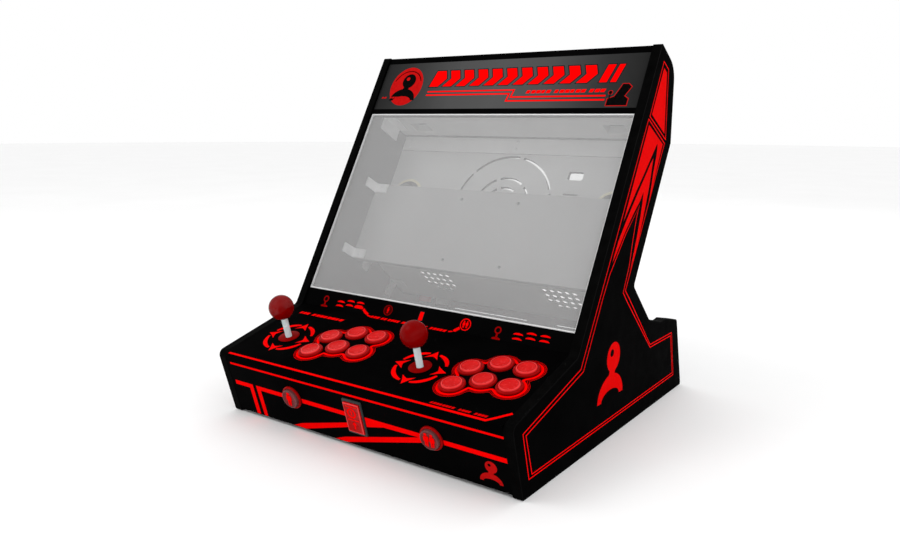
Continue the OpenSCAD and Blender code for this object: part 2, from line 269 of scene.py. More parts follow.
EDGE = plastic("edge_moulding", (0.001, 0.001, 0.001), (0.002, 0.002, 0.002), (0.34, 0.46), 60, 0.1, IOR=1.035)
RED_INK = printed("red_ink", (0.86, 0.0, 0.0), (0.93, 0.0, 0.0))
FILL_INK = printed("red_fill_ink", (0.63, 0.0, 0.0), (0.70, 0.0, 0.0))
BADGE = printed("badge_ink", (0.42, 0.004, 0.004), (0.50, 0.006, 0.006))
DARK_INK = printed("dark_red_ink", (0.24, 0.0, 0.0), (0.30, 0.0, 0.0))
MAROON_INK = printed("maroon_ink", (0.045, 0.0, 0.0), (0.065, 0.0, 0.0))
TEAL_INK = printed("teal_ink", (0.0, 0.008, 0.009), (0.0, 0.014, 0.015))
BLACK_INK = printed("black_ink", (0.0015, 0.0015, 0.0015), (0.003, 0.003, 0.003))
CAP = plastic("red_cap", (0.55, 0.004, 0.004), (0.63, 0.008, 0.008), (0.2, 0.3), 90, 0.0, IOR=1.14)
CAP_RIM = plastic("red_cap_rim", (0.74, 0.025, 0.025), (0.82, 0.04, 0.04), (0.16, 0.24), 90, 0.0, IOR=1.25)
FLANGE = plastic("red_bezel", (0.27, 0.0, 0.0), (0.32, 0.0, 0.0), (0.28, 0.38), 90, 0.05, IOR=1.12)
WASHER = plastic("red_washer", (0.19, 0.0, 0.0), (0.24, 0.0, 0.0), (0.34, 0.46), 200, 0.15, IOR=1.06)
BALL = plastic("red_ball", (0.18, 0.0, 0.0), (0.23, 0.0, 0.0), (0.16, 0.24), 40, 0.0, IOR=1.12, Alpha=0.9)
CLEAR_CAP = plastic("clear_cap", (0.12, 0.012, 0.012), (0.16, 0.02, 0.02), (0.2, 0.3), 90, 0.0, IOR=1.18)
CLEAR_RIM = plastic("clear_cap_rim", (0.10, 0.03, 0.03), (0.14, 0.045, 0.045), (0.2, 0.3), 90, 0.0, IOR=1.25)
BLACK_GLOSS = plastic("black_gloss_plastic", (0.032, 0.036, 0.036), (0.042, 0.046, 0.046), (0.26, 0.36), 90,
                      0.05, IOR=1.18)
BLACK_MATT = plastic("black_moulded_plastic", (0.014, 0.014, 0.015), (0.028, 0.028, 0.03), (0.42, 0.58), 120,
                     0.25, IOR=1.4)
WHITE_PLASTIC = plastic("white_plastic", (0.72, 0.72, 0.70), (0.82, 0.82, 0.80), (0.22, 0.32), 90, 0.05)
COIN_RED = plastic("coin_insert", (0.34, 0.0, 0.0), (0.40, 0.002, 0.002), (0.24, 0.34), 90, 0.0, IOR=1.16)
ZINC = steel("zinc_plate", (0.98, 0.99, 1.0), (0.3, 0.42), (6, 6, 6), metallic=0.08)
# the shaft's pale cyan-white colour with little metal is a painted reflection of chrome, tinted blue against the red
# thrown on it from the parts around it
SHAFT = steel("polished_shaft", (0.78, 0.98, 1.0), (0.2, 0.3), (1, 1, 0.05), metallic=0.1)
HINGE = steel("hinge_steel", (0.70, 0.71, 0.72), (0.25, 0.38))
BRASS = steel("brass_terminal", (0.78, 0.62, 0.26), (0.22, 0.34))
CREAM = plastic("cream_paper", (0.93, 0.85, 0.56), (1.0, 0.94, 0.68), (0.6, 0.8), 200, 0.4, IOR=1.3)
CONE = plastic("speaker_cone", (0.02, 0.02, 0.02), (0.045, 0.045, 0.045), (0.65, 0.85), 300, 0.6, IOR=1.3)


def acrylic():
    m = Mat("grey_acrylic", IOR=1.05, Alpha=0.29)
    m.colour(m.ramp(m.noise(5, 2), [(0.3, (0.585, 0.585, 0.585)), (0.7, (0.61, 0.61, 0.61))]))
    m.rough(m.span(m.noise(30, 3), 0.08, 0.16))
    return m.m


def sheet_edge_highlight():
    m = Mat("sheet_edge_painted_highlight", IOR=1.3, Alpha=0.72)
    # the edges are coloured much lighter than the sheet's faces: a painted highlight along the polished edge
    m.colour(m.ramp(m.noise(80, 2), [(0.3, (0.82, 0.83, 0.83)), (0.7, (0.92, 0.92, 0.92))]))
    m.rough(m.span(m.noise(200, 2), 0.15, 0.3))
    return m.m


def marquee_sheet():
    """Smoked acrylic that is lightest in the middle of its width."""
    m = Mat("marquee_sheet", IOR=1.09)
    half_width = 0.226
    x = m.math("ABSOLUTE", m.xyz()[0])
    away = m.math("MULTIPLY", x, 1 / half_width)
    tone = m.math("ADD", away, m.math("MULTIPLY", m.math("SUBTRACT", m.noise(30, 3), 0.5), 0.12))
    m.colour(m.ramp(tone, [(0.0, (0.072,) * 3), (0.35, (0.062,) * 3), (0.75, (0.026,) * 3), (1.0, (0.014,) * 3)]))
    m.rough(m.span(m.noise(80, 3), 0.28, 0.4))
    m.bump(m.noise(1200, 2), 0.05, 0.0001)
    return m.m


GLASS, SHEET_EDGE_HIGHLIGHT, MARQUEE = acrylic(), sheet_edge_highlight(), marquee_sheet()


def painted_light_board(name, plane=None, limit=0.0, inner_above=True, tone=0.6, grain=0.12):
    """Board painted grey on the inner side of a height over its panel and black elsewhere, or grey all over. The
    grey is painted light: it stands in for the light that reaches the inside through the screen sheet.
    """
    m = Mat(name, IOR=1.1)
    blot = m.noise(18, 4)
    grey = m.ramp(blot, [(0.3, (tone,) * 3), (0.7, (tone * 1.1,) * 3)])
    if plane is None:
        m.colour(grey)
    else:
        dark = m.ramp(blot, [(0.3, (0.0011, 0.0011, 0.0012)), (0.7, (0.0026, 0.0025, 0.0026))])
        side = m.math("GREATER_THAN", m.depth(plane), limit * MM)
        m.colour(m.mix(side, dark, grey) if inner_above else m.mix(side, grey, dark))
    m.rough(m.span(m.noise(60, 3), 0.4, 0.6))
    m.bump(m.noise(900, 2), grain, 0.0002)
    return m.m


REAR_PAINTED_LIGHT, SLANT_PAINTED_LIGHT = 7.85, -2.8   # the grey of painted light starts just under the inner face, mm
INSIDE = painted_light_board("board_inside")
DOOR = painted_light_board("door_board", "rear", REAR_PAINTED_LIGHT)
SLANT = painted_light_board("perforated_plate", "slant", SLANT_PAINTED_LIGHT, False, 0.89)


def two_tone(name, plane, limit, upper, lower, metal_upper=False, metal_lower=False):
    """One moulding and one metal part of a node, parted at a height over a panel."""
    m = Mat(name)
    above = m.math("GREATER_THAN", m.depth(plane), limit * MM)
    tone = m.noise(150, 3)
    up = m.ramp(tone, [(0.3, tuple(c * 0.8 for c in upper)), (0.7, upper)])
    lo = m.ramp(tone, [(0.3, tuple(c * 0.8 for c in lower)), (0.7, lower)])
    m.colour(m.mix(above, lo, up))
    m.rough(m.span(m.noise(200, 3), 0.3, 0.5))
    if metal_upper:
        m.metal(above)
    if metal_lower:
        m.metal(m.math("SUBTRACT", 1.0, above))
    m.bump(m.noise(1400, 2), 0.12, 0.0001)
    return m.m


PLATE_UNDER, SWITCH_UNDER = -14.7, -44.05   # just under the joysticks' plate and their switch bodies, mm
BASES = two_tone("joystick_base", "cp", PLATE_UNDER, (0.72, 0.73, 0.74), (0.03, 0.03, 0.032), metal_upper=True)
JOY_SWITCH = two_tone("joystick_switch", "cp", SWITCH_UNDER, (0.03, 0.03, 0.032), (0.78, 0.62, 0.26),
                      metal_lower=True)


def ring_nuts():
    """Black nuts, but for the red and the white one under the ledge."""
    m = Mat("ring_nuts", IOR=1.3)
    between, ahead = -0.1725, 0.09   # x between the two nuts under the ledge, y ahead of them, in metres
    x, y = m.xyz()[:2]
    tone = m.noise(120, 2)
    black, red, white = (m.ramp(tone, [(0.32, lo), (0.68, hi)]) for lo, hi in (
        ((0.014,) * 3, (0.028,) * 3), ((0.62, 0.0, 0.0), (0.72, 0.01, 0.01)), ((0.80,) * 3, (0.90,) * 3)))
    pair = m.mix(m.math("GREATER_THAN", x, between), red, white)
    m.colour(m.mix(m.math("GREATER_THAN", y, ahead), black, pair))
    m.rough(m.span(m.noise(200, 3), 0.4, 0.55))
    m.bump(m.noise(1600, 2), 0.2, 0.0001)
    return m.m


def give(material, *nodes):
    for n in nodes:
        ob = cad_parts[n]
        if not ob.material_slots:
            ob.data.materials.append(material)
        for s in ob.material_slots:
            s.material = material


# ---------------------------------------------------------------- mesh helpers
def piece(name, bm, body, materials, node=(), smooth=None):
    bmesh.ops.remove_doubles(bm, verts=bm.verts, dist=1e-7)
    bmesh.ops.recalc_face_normals(bm, faces=bm.faces)
    me = bpy.data.meshes.new(name)
    bm.to_mesh(me)
    bm.free()
    for m in materials:
        me.materials.append(m)
    ob = bpy.data.objects.new(name, me)
    scene.collection.objects.link(ob)
    if smooth is not None:
        me.polygons.foreach_set("use_smooth", [True] * len(me.polygons))
        me.set_sharp_from_angle(angle=math.radians(smooth))
    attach(ob, body)
    if node:
        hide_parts(*((node,) if isinstance(node, str) else node))
    return ob


def lathe(bm, place, profile, segs=72):
    """Revolves (r, z, material) points about a panel's normal. A profile that isn't on the axis closes on itself."""
    rings = []
    for r, z, _ in profile:
        if r < 1e-6:
            rings.append([bm.verts.new(place(0, 0, z))])
        else:
            turns = [2 * math.pi * i / segs for i in range(segs)]
            rings.append([bm.verts.new(place(r * math.cos(t), r * math.sin(t), z)) for t in turns])
    pairs = list(zip(range(len(rings) - 1), range(1, len(rings))))
    if len(rings[0]) > 1 and len(rings[-1]) > 1:
        pairs.append((len(rings) - 1, 0))
    for i, j in pairs:
        a, b = rings[i], rings[j]
        mat = profile[j][2]
        for k in range(segs):
            n = (k + 1) % segs
            if len(a) == 1 and len(b) == 1:
                continue
            if len(a) == 1:
                f = bm.faces.new((a[0], b[k], b[n]))
            elif len(b) == 1:
                f = bm.faces.new((a[k], a[n], b[0]))
            else:
                f = bm.faces.new((a[k], a[n], b[n], b[k]))
            f.material_index = mat


def arc(r0, z0, r1, z1, n=5, turn=1):
    """Quarter-round points between two corners, leaving (r0, z0) radially when turn is 1."""
    out = []
    for i in range(n + 1):
        t = math.pi / 2 * i / n
        if turn == 1:
            out.append((r0 + (r1 - r0) * math.sin(t), z0 + (z1 - z0) * (1 - math.cos(t))))
        else:
            out.append((r0 + (r1 - r0) * (1 - math.cos(t)), z0 + (z1 - z0) * math.sin(t)))
    return out


def brick(bm, place, x, s, z, mat=0, bevel=0.4):
    """A box with bevelled edges between (x0, x1), (s0, s1) and (z0, z1) on a panel."""
    before = set(bm.faces)
    vs = [bm.verts.new(Vector((a, b, c))) for c in z for b in s for a in x]
    quads = ((0, 2, 3, 1), (4, 5, 7, 6), (0, 1, 5, 4), (2, 6, 7, 3), (0, 4, 6, 2), (1, 3, 7, 5))
    faces = [bm.faces.new([vs[i] for i in q]) for q in quads]
    edges = list({e for f in faces for e in f.edges})
    if bevel:
        bmesh.ops.bevel(bm, geom=edges, offset=bevel, segments=3, profile=0.5, affect="EDGES",
                        clamp_overlap=True)
    new = [f for f in bm.faces if f not in before]
    for v in {v for f in new for v in f.verts}:
        v.co = place(*v.co)
    for f in new:
        f.material_index = mat


class Art:
    """Thin closed plates let into a panel, standing about a tenth of a millimetre proud of it."""

    def __init__(self, place, low=-0.05, high=0.07):
        self.bm, self.place, self.z = bmesh.new(), place, (low, high)

    def _z(self, layer):
        return self.z[0], self.z[1] + 0.05 * layer

    def ribbon(self, left, right, mat=0, closed=False, layer=0):
        z0, z1 = self._z(layer)
        cols = [[self.bm.verts.new(self.place(p[0], p[1], z)) for p, z in ((l, z0), (l, z1), (r, z1), (r, z0))]
                for l, r in zip(left, right)]
        n = len(cols)
        for i in range(n if closed else n - 1):
            a, b = cols[i], cols[(i + 1) % n]
            for k in range(4):
                m = (k + 1) % 4
                self.bm.faces.new((a[k], a[m], b[m], b[k])).material_index = mat
        if not closed:
            self.bm.faces.new(cols[0]).material_index = mat
            self.bm.faces.new(list(reversed(cols[-1]))).material_index = mat

    def poly(self, pts, mat=0, layer=0):
        z0, z1 = self._z(layer)
        low = [self.bm.verts.new(self.place(x, s, z0)) for x, s in pts]
        top = [self.bm.verts.new(self.place(x, s, z1)) for x, s in pts]
        new = [self.bm.faces.new(top), self.bm.faces.new(list(reversed(low)))]
        n = len(pts)
        for i in range(n):
            j = (i + 1) % n
            new.append(self.bm.faces.new((low[i], low[j], top[j], top[i])))
        for f in new:
            f.material_index = mat
            f.normal_update()
        bmesh.ops.triangulate(self.bm, faces=new[:2], ngon_method="EAR_CLIP")

    def stroke(self, pts, width, mat=0, closed=False, layer=0):
        n = len(pts)
        left, right = [], []
        for i, p in enumerate(pts):
            a = pts[i - 1] if i or closed else None
            b = pts[(i + 1) % n] if i < n - 1 or closed else None
            dirs = []
            for u, v in ((a, p), (p, b)):
                if u is not None and v is not None:
                    d = math.hypot(v[0] - u[0], v[1] - u[1]) or 1e-9
                    dirs.append(((v[0] - u[0]) / d, (v[1] - u[1]) / d))
            nx = -sum(d[1] for d in dirs) / len(dirs)
            ny = sum(d[0] for d in dirs) / len(dirs)
            k = width / 2 / max(nx * nx + ny * ny, 0.25)
            left.append((p[0] + nx * k, p[1] + ny * k))
            right.append((p[0] - nx * k, p[1] - ny * k))
        self.ribbon(left, right, mat, closed, layer)

    def ring(self, c, r0, r1, a0=0.0, a1=360.0, mat=0, layer=0, n=48):
        full = abs(a1 - a0) >= 360
        count = n if full else n + 1
        ang = [math.radians(a0 + (a1 - a0) * i / n) for i in range(count)]
        self.ribbon([(c[0] + r1 * math.cos(t), c[1] + r1 * math.sin(t)) for t in ang],
                    [(c[0] + r0 * math.cos(t), c[1] + r0 * math.sin(t)) for t in ang], mat, full, layer)

    def disc(self, c, r, mat=0, layer=0, n=40, ry=None):
        turns = [2 * math.pi * i / n for i in range(n)]
        self.poly([(c[0] + r * math.cos(t), c[1] + (ry or r) * math.sin(t)) for t in turns], mat, layer)

    def done(self, name, body, materials):
        return piece(name, self.bm, body, materials)


def shift(pts, x, s, k=1.0, lean=0.0):
    return [(x + k * (p[0] + lean * p[1]), s + k * p[1]) for p in pts]


def grow(pts, d):
    """Moves every side of a polygon outward by d."""
    area = sum(a[0] * b[1] - b[0] * a[1] for a, b in zip(pts, pts[1:] + pts[:1]))
    d = d if area > 0 else -d
    out = []
    n = len(pts)
    for i, p in enumerate(pts):
        a, b = pts[i - 1], pts[(i + 1) % n]
        u = ((p[0] - a[0]), (p[1] - a[1]))
        v = ((b[0] - p[0]), (b[1] - p[1]))
        lu, lv = math.hypot(*u) or 1e-9, math.hypot(*v) or 1e-9
        n1, n2 = (u[1] / lu, -u[0] / lu), (v[1] / lv, -v[0] / lv)
        m = (n1[0] + n2[0], n1[1] + n2[1])
        k = d / max((m[0] * m[0] + m[1] * m[1]) / 2, 0.5)
        out.append((p[0] + m[0] * k, p[1] + m[1] * k))
    return out


# ---------------------------------------------------------------- carried-over CAD parts
give(BOARD, "front_panel", "lower_rail", "marquee_rail", "top_panel", "rear_top_panel",
     "ledge_panel", "tail_panel", "base_panel")
# The grey that the door, slanted plate, ceiling, monitor board and rear rail show inside the cabinet is painted
# light, its tone set board by board for how much light reaches each through the screen sheet.
give(DOOR, "rear_door")
give(SLANT, "slanted_panel")
give(VINYL, "side_panel_left", "side_panel_right", "control_panel")
give(INSIDE, "ceiling_panel")
give(painted_light_board("monitor_painted_light", tone=0.36, grain=0.03), "monitor_board")
give(painted_light_board("rail_board", "rear", REAR_PAINTED_LIGHT, tone=0.75), "rear_rail")
give(EDGE, "edge_moulding_left", "edge_moulding_right")
give(MARQUEE, "marquee_panel")
give(ZINC, "corner_brackets")
give(HINGE, "door_hinge_fixed", "door_hinge_moving")
give(BASES, "joystick_bases")
give(JOY_SWITCH, "joystick_switches")
give(BLACK_MATT, "gimbal_left", "gimbal_right", "dust_slider_left", "dust_slider_right")
give(ring_nuts(), "button_nuts")
give(SHAFT, "stick_left", "stick_right")

# sizes in mm, and places on the panels in mm as (across, up)
PLAYERS = 231.8  # from the left player's controls to the right player's
STICK = (-165.2, 67.3)
BTN = [(-103.8, 87.9), (-72.9, 108), (-37.2, 108), (-104, 48.2), (-73.4, 68.4), (-37.2, 68.4)]
BTN_DEPTH = 30
CAP_R = 12.95
BARREL_R = 14.6  # of the play and start buttons
SIDES = ("left", "right")
CREASE = 32      # edges sharper than this stay sharp on turned pieces, degrees


# ---------------------------------------------------------------- push buttons
def housing_profile(rf, rh, rc, depth, m=0):
    """A flange of radius rf with a rolled edge over a barrel of radius rh, open for a cap of radius rc."""
    p = [(rc + 0.1, -depth + 3, m), (rc + 0.1, 1.9, m), (rc + 0.3, 2.45, m), (rc + 0.7, 2.6, m), (rf - 1.5, 2.6, m)]
    p += [(r, z, m) for r, z in arc(rf - 1.5, 2.6, rf, 1.1, 5)[1:]]
    p += [(rf, 0.02, m), (rh, 0.02, m), (rh, -6, m), (rh - 0.3, -6.3, m), (rh - 0.3, -6.9, m), (rh, -7.2, m)]
    return p + [(rh, -depth, m), (rc + 0.1, -depth, m)]


def cap_profile(rc, depth, top, rim=0, face=0, step_shadow=0):
    """A plunger with a rounded rim and a dished face that has a moulded step. The narrow band at the step takes its
    own material, which where it is dark is a painted shadow of the step.
    """
    p = [(0, -depth - 0.5, face), (3.6, -depth - 0.5, face), (4, -depth - 0.1, face), (4, -depth + 7.2, face)]
    p += [(rc - 0.3, -depth + 7.2, face), (rc, -depth + 7.6, face), (rc, top - 1.5, rim)]
    p += [(r, z, rim) for r, z in arc(rc, top - 1.5, rc - 1.1, top - 0.02, 6, 2)[1:]]
    p += [(rc - 1.5, top, rim), (rc - 1.75, top - 0.08, rim), (rc - 2.3, top - 0.35, step_shadow)]
    return p + [(rc - 3.3, top - 0.62, face), (rc - 5, top - 0.95, face), (rc - 7.4, top - 1.2, face),
                (rc * 0.25, top - 1.38, face), (0, top - 1.4, face)]


for k, side in enumerate(SIDES):
    for i, (bx, bs) in enumerate(BTN):
        bm = bmesh.new()
        # on the play buttons the band at the step takes the bezels' dark red, a painted shadow of the step
        lathe(bm, on("cp", bx + k * PLAYERS, bs), cap_profile(CAP_R, BTN_DEPTH, 4.4, rim=1, step_shadow=2))
        cap = "cap_%s_%d" % (side, i + 1)
        piece("button_" + cap, bm, cap, [CAP, CAP_RIM, FLANGE], cap, smooth=CREASE)

bm = bmesh.new()
for k in (0, 1):
    for bx, bs in BTN:
        lathe(bm, on("cp", bx + k * PLAYERS, bs), housing_profile(16.7, BARREL_R, CAP_R, BTN_DEPTH))
piece("button_bezels", bm, "cabinet", [FLANGE], "button_housings", smooth=CREASE)

START, START_S = (-105.1, 124.2), 51.9
START_DEPTH, START_R = 22, 13.4
bm = bmesh.new()
for cx in START:
    lathe(bm, on("front", cx, START_S, FRONT_Z), housing_profile(16.2, BARREL_R, START_R, START_DEPTH))
piece("start_bezels", bm, "cabinet", [FLANGE], "start_housings", smooth=CREASE)


def person(art, x, s, k=1.0, mat=0, layer=0, wide=1.0):
    """A plain standing player sign: head, shoulders and legs."""
    art.disc((x, s + 6.9 * k), 1.9 * k * wide, mat, layer, 24, ry=1.9 * k)
    body = [(-3.3, 3.6), (-2.5, 4.5), (2.5, 4.5), (3.3, 3.6), (3.3, -2.0), (2.2, -2.0), (2.2, -8.8), (0.4, -8.8),
            (0.4, -2.8), (-0.4, -2.8), (-0.4, -8.8), (-2.2, -8.8), (-2.2, -2.0), (-3.3, -2.0)]
    art.poly([(x + k * wide * p, s + k * q) for p, q in body], mat, layer)


for side, cx, signs, tall, wide in zip(SIDES, START, ((-1.2,), (-4.6, 4.0)), (1.12, 1.05), (1.15, 1.05)):
    bm = bmesh.new()
    lathe(bm, on("front", cx, START_S, FRONT_Z), cap_profile(START_R, START_DEPTH, 6.0, rim=1))
    cap = "start_cap_" + side
    piece("start_button_" + side, bm, cap, [CLEAR_CAP, CLEAR_RIM], cap, smooth=CREASE)
    art = Art(on("front", cx, START_S, FRONT_Z + 5.4), -1.1, 0.05)
    for dx in signs:
        person(art, dx, 0.0, tall, wide=wide)
    art.done("start_sign_" + side, cap, [RED_INK])

LEDGE = [(-191, 50), (-154, 50)]
LEDGE_Z, LEDGE_DEPTH, LEDGE_R = -1, 28, 8.9
bm = bmesh.new()
for i, (lx, ls) in enumerate(LEDGE):
    lathe(bm, on("ledge", lx, ls, LEDGE_Z), housing_profile(13.6, 11, LEDGE_R, LEDGE_DEPTH, i))
piece("ledge_bezels", bm, "cabinet", [CAP_RIM, WHITE_PLASTIC], "ledge_housings", smooth=CREASE)
for (lx, ls), colour, mat in zip(LEDGE, ("red", "white"), (CAP, WHITE_PLASTIC)):
    bm = bmesh.new()
    lathe(bm, on("ledge", lx, ls, LEDGE_Z), cap_profile(LEDGE_R, LEDGE_DEPTH, 4.6))
    cap = "ledge_cap_" + colour
    piece("ledge_button_" + colour, bm, cap, [mat], cap, smooth=CREASE)

# a switch with three terminals under each plunger
bm = bmesh.new()
places = [on("cp", bx + k * PLAYERS, bs, -BTN_DEPTH) for k in (0, 1) for bx, bs in BTN]
places += [on("front", cx, START_S, FRONT_Z - START_DEPTH) for cx in START]
places += [on("ledge", lx, ls, LEDGE_Z - LEDGE_DEPTH) for lx, ls in LEDGE]
for place in places:
    brick(bm, place, (-10, 10), (-3.2, 3.2), (-13, -3), 0, 0.5)
    for i in (-1, 1):
        brick(bm, place, (i * 10.7 - 0.7, i * 10.7 + 0.7), (-3.2, 3.2), (-13, -0.02), 0, 0.2)
    for x in (-7, 0, 7):
        brick(bm, place, (x - 1.6, x + 1.6), (-0.4, 0.4), (-19, -12.8), 1, 0.15)
piece("button_microswitches", bm, "cabinet", [BLACK_MATT, BRASS], "button_switches", smooth=CREASE)

# ---------------------------------------------------------------- coin button
COIN = (5.4, 49.6)
COIN_FACE = 3.5  # the cap's face over the front's zero plane, mm


def frame_loop(w, h, r, z, n=5):
    """A rounded rectangle of half sizes w and h and corner radius r, at height z."""
    pts = []
    for qx, qy, a in ((1, 1, 0), (-1, 1, 90), (-1, -1, 180), (1, -1, 270)):
        for i in range(n + 1):
            t = math.radians(a + 90 * i / n)
            pts.append((qx * (w - r) + r * math.cos(t), qy * (h - r) + r * math.sin(t), z))
    return pts


def stack(bm, place, sizes, mats, cap_ends=True, ring=False, n=5):
    """Skins rounded rectangles, given as (half width, half height, corner, z), one after the other."""
    loops = [frame_loop(*size, n) for size in sizes]
    rows = [[bm.verts.new(place(*p)) for p in loop] for loop in loops]
    pairs = list(zip(rows, rows[1:])) + ([(rows[-1], rows[0])] if ring else [])
    for (a, b), m in zip(pairs, mats):
        for i in range(len(a)):
            j = (i + 1) % len(a)
            bm.faces.new((a[i], a[j], b[j], b[i])).material_index = m
    if cap_ends:
        bm.faces.new(list(reversed(rows[0]))).material_index = mats[0]
        bm.faces.new(rows[-1]).material_index = mats[-1]


place = on("front", *COIN, FRONT_Z)
bm = bmesh.new()
bezel = [(14.1, 23.9, 1, -24), (14.1, 23.9, 1, 0.02), (15.4, 25, 1.2, 0.02), (15.4, 25, 1.2, 1.3),
         (15.25, 24.85, 1.2, 1.7), (14.8, 24.4, 1.2, 2.0), (13.9, 22.4, 0.8, 2.0), (13.5, 22.0, 0.6, 1.9),
         (13.08, 21.58, 0.5, 1.5), (13.08, 21.58, 0.5, -21), (13.08, 21.58, 0.5, -24)]
stack(bm, place, bezel, [0] * len(bezel), cap_ends=False, ring=True)
piece("coin_bezel", bm, "cabinet", [BLACK_GLOSS], "coin_housing", smooth=CREASE)
bm = bmesh.new()
stack(bm, place, [(13, 21.5, 0.5, -12), (13, 21.5, 0.5, 3.1), (12.85, 21.35, 0.5, 3.5), (12.4, 20.9, 0.6, 3.95),
                  (11.8, 20.3, 0.7, 4.18), (11.2, 19.7, 0.7, 4.1), (10.8, 19.3, 0.7, 3.8)], [0, 0, 1, 1, 1, 0])
piece("coin_button", bm, "coin_cap", [COIN_RED, CAP_RIM], "coin_cap", smooth=CREASE)
art = Art(on("front", *COIN, COIN_FACE), -0.1, 0.12)
art.ring((-1.0, 7.4), 5.0, 7.2, mat=0)
art.poly([(-2.0, 4.6), (0.0, 4.6), (0.0, 10.4), (-2.0, 10.4)], 0)
for row in (16.2, -3.4):
    art.poly([(-9, row), (9, row), (9, row + 1.5), (-9, row + 1.5)], 0)
art.poly([(-1.1, -16), (1.1, -16), (1.1, -9.6), (3.8, -9.6), (0, -5.2), (-3.8, -9.6), (-1.1, -9.6)], 0)
art.done("coin_sign", "coin_cap", [RED_INK])

# ---------------------------------------------------------------- balls and dust washers
BALL_R, BALL_Z = 17.3, 46.3
BALL_END = -16.1   # where the ball's curve gives way to its socket
ball = []
for i in range(41):
    t = math.pi * i / 40
    if BALL_R * math.cos(t) < BALL_END:
        break
    ball.append((max(BALL_R * math.sin(t), 0.0), BALL_R * math.cos(t), 0))
ball += [(5.4, -16.35, 0), (4.7, -16.2, 0), (4.56, -15.6, 0), (4.56, 0, 0), (0, 0, 0)]
for k, side in enumerate(SIDES):
    bm = bmesh.new()
    lathe(bm, on("cp", STICK[0] + k * PLAYERS, STICK[1], BALL_Z), ball, 96)
    piece("ball_top_" + side, bm, "stick_" + side, [BALL], "ball_" + side, smooth=35)

# the hole is wide enough for the shaft when it leans both ways at once
washer = [(r, z, 0) for r, z in ((5.2, 0.62), (14.7, 0.62), (14.95, 0.9), (14.85, 1.25),
                                 (14.5, 1.48), (6.6, 1.86), (5.6, 1.86), (5.2, 1.6))]
for k, side in enumerate(SIDES):
    bm = bmesh.new()
    lathe(bm, on("cp", STICK[0] + k * PLAYERS, STICK[1]), washer, 96)
    piece("washer_" + side, bm, "dust_washer_" + side, [WASHER], "dust_washer_" + side, smooth=CREASE)

# ---------------------------------------------------------------- screen sheet with polished edges, painted light as a highlight
COVER_LO, COVER_HI = 29.2, 330.5
bm = bmesh.new()
place = on("screen", 0, (COVER_LO + COVER_HI) / 2, SCREEN_Z)
w, h = 225.4, (COVER_HI - COVER_LO) / 2
stack(bm, place, [(w - 0.8, h - 0.8, 0.6, -4.0), (w, h, 0.6, -3.2), (w, h, 0.6, -0.8), (w - 0.8, h - 0.8, 0.6, 0),
                  (w - 2.2, h - 2.2, 0.6, 0)], [1, 1, 1, 1, 0], n=3)
for f in bm.faces:
    if len(f.verts) > 4:   # the two large faces
        f.material_index = 0
piece("acrylic_sheet", bm, "cabinet", [GLASS, SHEET_EDGE_HIGHLIGHT], "screen_cover")

# ---------------------------------------------------------------- speakers on the door
gasket = [(25.6, 0, 0), (30, 0, 0), (30, 2.1, 0), (29.5, 2.6, 0), (26.2, 2.6, 0), (25.6, 2.2, 0)]
speaker = [(0, 3.2, 1), (6.5, 3.4, 1), (7.2, 2.9, 1), (14, 3.5, 1), (20.5, 3.0, 2), (21.7, 3.9, 2), (23.6, 3.9, 2),
           (25.5, 2.8, 2), (25.5, 0, 2), (22.5, 0.1, 1), (20, 5, 1), (20, 9, 1), (17, 9.2, 1), (17, 13, 1),
           (16.2, 13.5, 1), (0, 13.5, 1)]
SPEAKER = (183, 101.5)
bm = bmesh.new()
for x in (-SPEAKER[0], SPEAKER[0]):
    place = on("rear", x, SPEAKER[1], REAR_IN)
    lathe(bm, place, gasket)
    lathe(bm, place, speaker)
piece("speaker_drivers", bm, "door", [CREAM, CONE, BLACK_MATT], "door_speakers", smooth=40)

# ---------------------------------------------------------------- screws
def screw_head(bm, place, r=2.6, h=1.5):
    """A domed head with a cross recess."""
    lathe(bm, place, [(0, -0.3, 0), (r, -0.3, 0), (r, 0.15, 0), (r * 0.86, h * 0.62, 0), (r * 0.6, h * 0.9, 0),
                      (r * 0.34, h, 0), (r * 0.3, h * 0.5, 0), (0, h * 0.45, 0)], 28)
    long, short = (-r * 0.62, r * 0.62), (-0.22, 0.22)
    for x, s in ((long, short), (short, long)):
        brick(bm, place, x, s, (h * 0.2, h * 0.96), 1, 0)


def facing_back(place):
    return lambda x, s, z: place(x, s, -z)


REAR_OUT = 1.9   # outer face of the rear door, mm
bm = bmesh.new()
for x in (-215, 215):
    for s in (20, 170):
        screw_head(bm, facing_back(on("rear", x, s, REAR_OUT)))
piece("door_screws", bm, "door", [ZINC, BLACK_MATT], smooth=30)

bm = bmesh.new()
for x in (-212.8, -2, 208.8):
    for s in (192.8, 205.8):
        screw_head(bm, on("rear", x, s, REAR_IN), 2.8)
piece("rail_screws", bm, "cabinet", [ZINC, BLACK_MATT], smooth=30)

# ---------------------------------------------------------------- printed art: control panel
RED, FILL, DARK, TEAL, BLACK, BADGE_SLOT, MAROON = range(7)
INKS = [RED_INK, FILL_INK, DARK_INK, TEAL_INK, BLACK_INK, BADGE, MAROON_INK]


def rot(pts, a):
    a = math.radians(a)
    return [(p[0] * math.cos(a) - p[1] * math.sin(a), p[0] * math.sin(a) + p[1] * math.cos(a)) for p in pts]


